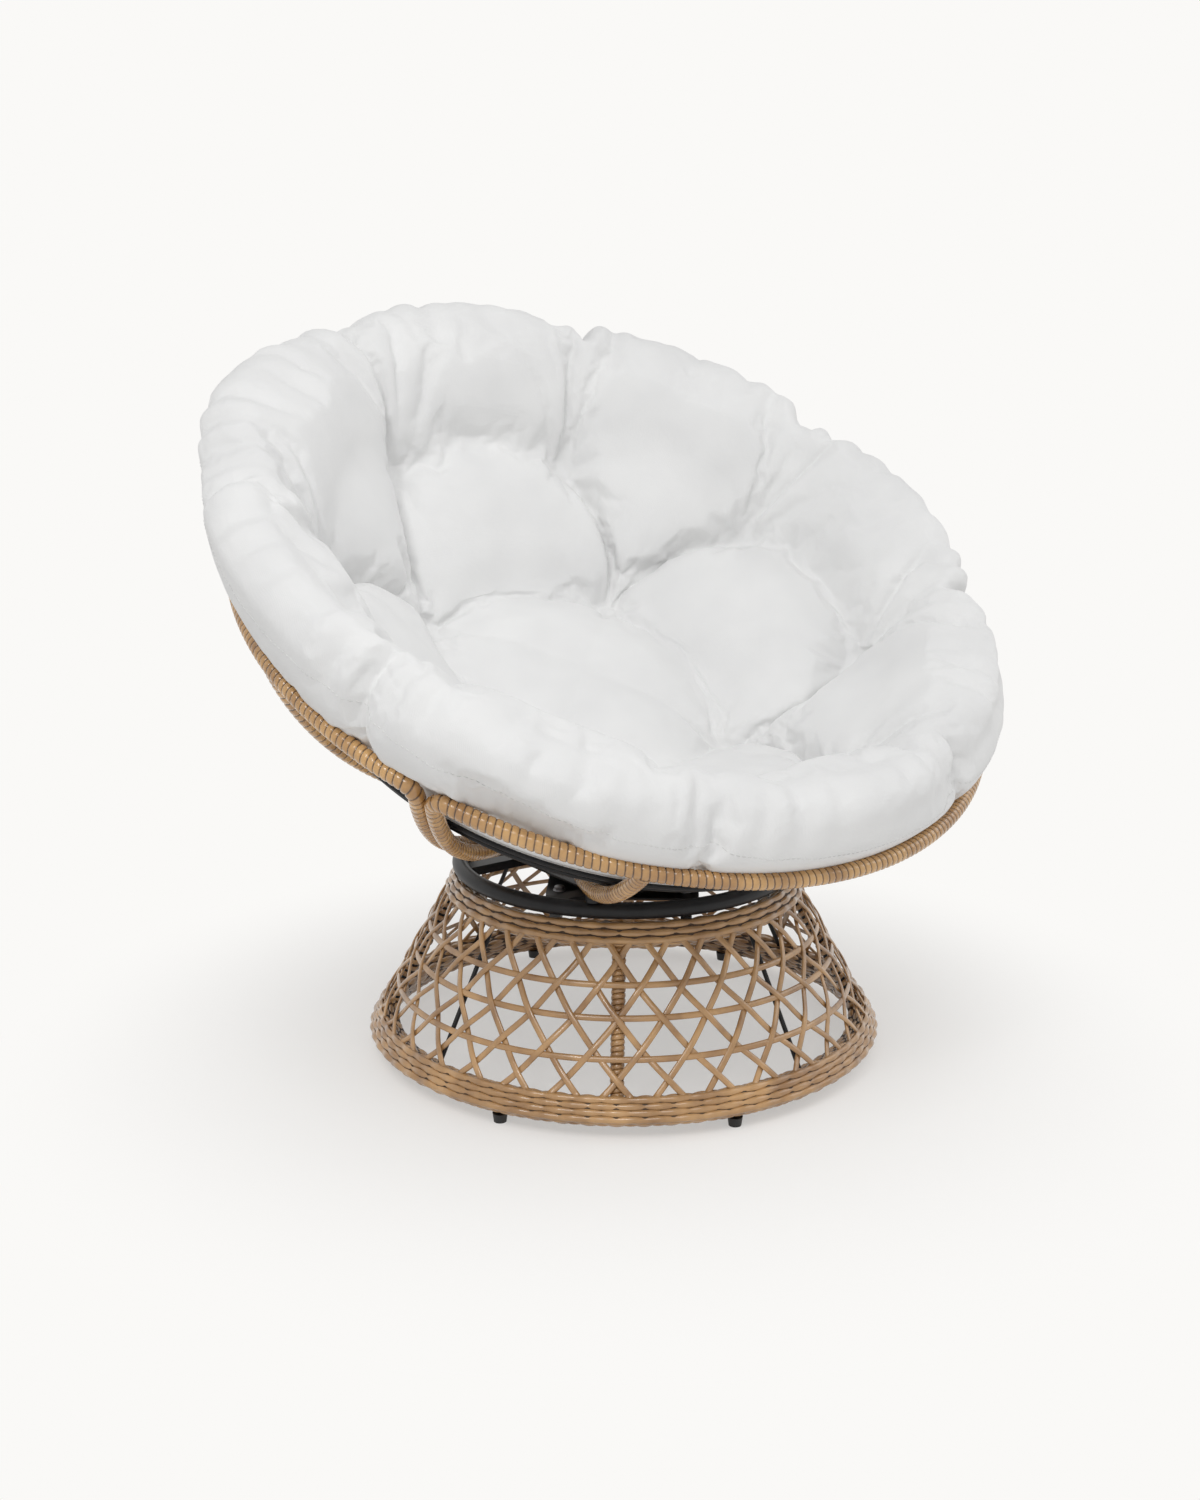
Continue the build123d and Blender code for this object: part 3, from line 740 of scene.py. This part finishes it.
def cushion_mesh():
    """Points and faces of the sewn shape before it is stuffed, in the cushion's own frame."""
    turns = cushion_turns
    angles = np.linspace(0, 360, turns, endpoint=False)
    knots = np.linspace(0.0, last_knot, top_steps)
    profile = sewn_profiles(angles, knots)
    profile[..., 0] += gathers(angles, knots) * gather_out
    profile[..., 1] += gathers(angles, knots) * gather_up
    for angle, push, narrowness in edge_pushes:
        near = towards(angles, angle, narrowness)
        profile[..., 0] += push * near[:, None] * np.interp(knots, push_knots, (0, 1))[None, :]
    inside = towards(angles, inside_angle, inside_narrowness)
    slide = cushion_slide * np.cos(np.radians(angles))
    edges = np.radians(rim_polar + edge_past_rim + slide + inside_lift * inside)
    polars = edges[:, None] * np.linspace(1, 0, under_steps + 1)[None, :]
    under_heights = sphere_middle - cushion_sphere * np.cos(polars)
    under = np.stack((cushion_sphere * np.sin(polars), under_heights), axis=-1)
    tuck = np.clip((knots - tuck_knot) / (last_knot - tuck_knot), 0, 1)
    profile += tuck[None, :, None] * (under[:, :1] - profile[:, -1:])
    profile = np.concatenate((profile, under[:, 1:]), axis=1)[:, 1:-1]
    spokes = plan(1.0, angles)
    points = np.concatenate((profile[..., :1] * spokes[:, None, :], profile[..., 1:]), axis=-1)
    size = points.shape[1]
    points[:, :top_steps - 1, 2] += puckers(points[:, :top_steps - 1].reshape(-1, 3)).reshape(turns, -1)
    lean = np.clip((points[..., 2:] - shift_heights[0]) / (shift_heights[1] - shift_heights[0]), 0, 1)
    points[..., :2] += edge_shift * lean * np.array(shift_direction)
    column = np.arange(size - 1)[None, :]
    near = np.arange(turns)[:, None] * size
    far = ((np.arange(turns) + 1) % turns)[:, None] * size
    faces = np.stack((near + column, near + column + 1, far + column + 1, far + column), axis=-1)
    faces = faces.reshape(-1, 4).tolist()
    top, low = turns * size, turns * size + 1
    for row in range(turns):
        after = (row + 1) % turns
        faces.append([top, row * size, after * size])
        faces.append([low, after * size + size - 1, row * size + size - 1])
    tips = np.array(((0, 0, narrow_profile[0][1]), (0, 0, sphere_middle - cushion_sphere)))
    return np.vstack((points.reshape(-1, 3), tips)), faces


def corners_of(mesh):
    points = np.empty(3 * len(mesh.vertices))
    mesh.vertices.foreach_get("co", points)
    return points.reshape(-1, 3)


def as_seen(piece):
    """New mesh of a piece with its modifiers applied."""
    return bpy.data.meshes.new_from_object(piece.evaluated_get(bpy.context.evaluated_depsgraph_get()))


def take_mesh(piece, mesh):
    piece.modifiers.clear()
    old = piece.data
    piece.data = mesh
    bpy.data.meshes.remove(old)


def stuff(piece):
    """Blows the sewn cover up against its tufts, in the cushion's own frame."""
    start = corners_of(piece.data)
    from_middle = start - np.array((0, 0, sphere_middle))
    depth = np.linalg.norm(from_middle, axis=1)
    polar = np.degrees(np.arccos(np.clip(-from_middle[:, 2] / depth, -1, 1)))
    under = (depth > cushion_sphere - under_band) & (polar < rim_polar)
    on_top = start[:, 2] > sphere_middle - depth
    weights = np.where(under, 1.0, np.where(on_top, pin_weights(start[:, :2]), 0.0))
    group = piece.vertex_groups.new(name="held")
    for index in np.nonzero(weights)[0].tolist():
        group.add([index], float(weights[index]), "REPLACE")
    cloth = piece.modifiers.new("stuffing", "CLOTH")
    settings = cloth.settings
    settings.quality = 5
    settings.mass = 0.3
    settings.tension_stiffness = 15
    settings.compression_stiffness = 15
    settings.shear_stiffness = 8
    settings.bending_stiffness = 0.1
    settings.vertex_group_mass = "held"
    settings.use_pressure = True
    settings.uniform_pressure_force = stuffing_pressure
    settings.shrink_min = -slack_cloth
    settings.effector_weights.gravity = 0
    scene = bpy.context.scene
    for step in range(1, stuffing_steps + 1):
        scene.frame_set(step)
    blown = corners_of(piece.evaluated_get(bpy.context.evaluated_depsgraph_get()).data)
    move = blown - start
    reach = np.linalg.norm(move, axis=1, keepdims=True)
    capped = start + move * np.minimum(1, stuffing_cap / np.maximum(reach, 1e-9))
    scene.frame_set(1)
    piece.modifiers.clear()
    piece.vertex_groups.clear()
    piece.data.vertices.foreach_set("co", capped.ravel())
    piece.data.update()


def make_cushion():
    points, faces = cushion_mesh()
    mesh = bpy.data.meshes.new("tufted_cushion")
    mesh.from_pydata(points.tolist(), [], faces)
    piece = bpy.data.objects.new("tufted_cushion", mesh)
    bpy.context.scene.collection.objects.link(piece)
    even = piece.modifiers.new("even", "REMESH")
    even.mode = "VOXEL"
    even.voxel_size = cloth_grid
    take_mesh(piece, as_seen(piece))
    stuff(piece)
    smooth = piece.modifiers.new("smooth", "SUBSURF")
    smooth.levels = 1
    take_mesh(piece, as_seen(piece))
    piece.data.transform(cushion_place)
    piece.data.polygons.foreach_set("use_smooth", [True] * len(piece.data.polygons))
    piece.data.materials.clear()
    piece.data.materials.append(cushion_fabric)
    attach(piece, "seat")
    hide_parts("cushion")
    return piece


def make_stitches(cushion):
    """Thread of the seam round the padded edge, one short stitch after another."""
    tree = BVHTree.FromPolygons([tuple(v.co) for v in cushion.data.vertices],
                                [tuple(p.vertices) for p in cushion.data.polygons])
    count = round(2 * math.pi * seam_radius / stitch_pitch)
    stitches = []
    for number in range(count):
        line = []
        outs = []
        for share, rise in stitch_marks:
            angle = 360 * (number + share * stitch_share) / count
            outside = cushion_place @ Vector((*plan(seam_search * seam_radius, angle), seam_height))
            axis = cushion_place @ Vector((0, 0, seam_height))
            spot, normal = tree.ray_cast(outside, (axis - outside).normalized())[:2]
            line.append(spot + normal * (stitch_radius * rise))
            outs.append(normal)
        section = round_section(stitch_radius, stitch_radius, 6)
        stitches.append(sweep(np.array(line), np.array(outs), section))
    make_object("cushion_stitches", stitches, thread, "seat")


make_band("woven_top_band", 0.0, top_band_reach, 3)
make_band("woven_bottom_band", slope_length, bottom_band_reach, 4)
make_weave()
make_posts()
make_swivel_ring()
make_bowl()
make_bolts()
make_stitches(make_cushion())


# Floor, light and camera
back_color = (0.956, 0.947, 0.930)
floor_side = 12.0
glow_start, glow_full, glow_least = 0.30, 0.85, 0.45    # reach of the floor's even background colour
sky_strength = 0.50


def seen_directly(nodes, links):
    """1 for a ray that the camera sees, itself or mirrored."""
    rays = nodes.new("ShaderNodeLightPath")
    seen = nodes.new("ShaderNodeMath")
    seen.operation = "MAXIMUM"
    links.new(rays.outputs["Is Camera Ray"], seen.inputs[0])
    links.new(rays.outputs["Is Glossy Ray"], seen.inputs[1])
    return seen.outputs["Value"]


def make_floor():
    material = bpy.data.materials.new("floor")
    material.use_nodes = True
    nodes, links = material.node_tree.nodes, material.node_tree.links
    nodes.clear()
    output = nodes.new("ShaderNodeOutputMaterial")
    mix = nodes.new("ShaderNodeMixShader")
    ground = nodes.new("ShaderNodeBsdfDiffuse")
    ground.inputs["Color"].default_value = (0.93, 0.925, 0.915, 1)
    glow = nodes.new("ShaderNodeEmission")
    glow.inputs["Color"].default_value = (*back_color, 1)
    place = nodes.new("ShaderNodeTexCoord")
    reach = nodes.new("ShaderNodeVectorMath")
    reach.operation = "LENGTH"
    links.new(place.outputs["Object"], reach.inputs[0])
    fade = nodes.new("ShaderNodeMapRange")
    fade.interpolation_type = "SMOOTHSTEP"
    fade.inputs["From Min"].default_value = glow_start
    fade.inputs["From Max"].default_value = glow_full
    fade.inputs["To Min"].default_value = glow_least
    links.new(reach.outputs["Value"], fade.inputs["Value"])
    share = nodes.new("ShaderNodeMath")
    share.operation = "MULTIPLY"
    links.new(fade.outputs["Result"], share.inputs[0])
    links.new(seen_directly(nodes, links), share.inputs[1])
    links.new(share.outputs["Value"], mix.inputs["Fac"])
    links.new(ground.outputs["BSDF"], mix.inputs[1])
    links.new(glow.outputs["Emission"], mix.inputs[2])
    links.new(mix.outputs["Shader"], output.inputs["Surface"])
    mesh = bpy.data.meshes.new("floor")
    corners = [(x * floor_side, y * floor_side, 0) for x, y in ((-1, -1), (1, -1), (1, 1), (-1, 1))]
    mesh.from_pydata(corners, [], [(0, 1, 2, 3)])
    mesh.materials.append(material)
    floor = bpy.data.objects.new("floor", mesh)
    bpy.context.scene.collection.objects.link(floor)


def make_world():
    world = bpy.data.worlds.new("studio")
    bpy.context.scene.world = world
    world.use_nodes = True
    nodes, links = world.node_tree.nodes, world.node_tree.links
    light = nodes["Background"]
    light.inputs["Color"].default_value = (1, 1, 1, 1)
    light.inputs["Strength"].default_value = sky_strength
    back = nodes.new("ShaderNodeBackground")
    back.inputs["Color"].default_value = (*back_color, 1)
    mix = nodes.new("ShaderNodeMixShader")
    links.new(seen_directly(nodes, links), mix.inputs["Fac"])
    links.new(light.outputs["Background"], mix.inputs[1])
    links.new(back.outputs["Background"], mix.inputs[2])
    links.new(mix.outputs["Shader"], nodes["World Output"].inputs["Surface"])


def make_lamp(name, place, target, size, power):
    lamp = bpy.data.lights.new(name, "AREA")
    lamp.shape = "DISK"
    lamp.size = size
    lamp.energy = power
    thing = bpy.data.objects.new(name, lamp)
    thing.location = place
    thing.rotation_mode = "QUATERNION"
    thing.rotation_quaternion = (Vector(target) - Vector(place)).to_track_quat("-Z", "Y")
    bpy.context.scene.collection.objects.link(thing)


def make_camera():
    lens = bpy.data.cameras.new("camera")
    lens.sensor_width = 36.0
    lens.lens = 44.36
    camera = bpy.data.objects.new("camera", lens)
    camera.location = (-1.4378, -1.8995, 0.9889)
    camera.rotation_euler = (math.radians(76.103), 0, math.radians(-36.35))
    bpy.context.scene.collection.objects.link(camera)
    bpy.context.scene.camera = camera


make_floor()
make_world()
make_lamp("key", place=(-1.6, -1.6, 3.2), target=(0, 0, 0.5), size=2.4, power=45)
make_lamp("fill", place=(2.4, -1.4, 2.2), target=(0, 0, 0.4), size=2.4, power=17)
make_lamp("glint", place=(-2.2, -1.2, 2.4), target=(0, -0.2, 0.45), size=0.5, power=8)
make_camera()
bpy.context.scene.view_settings.view_transform = "Standard"
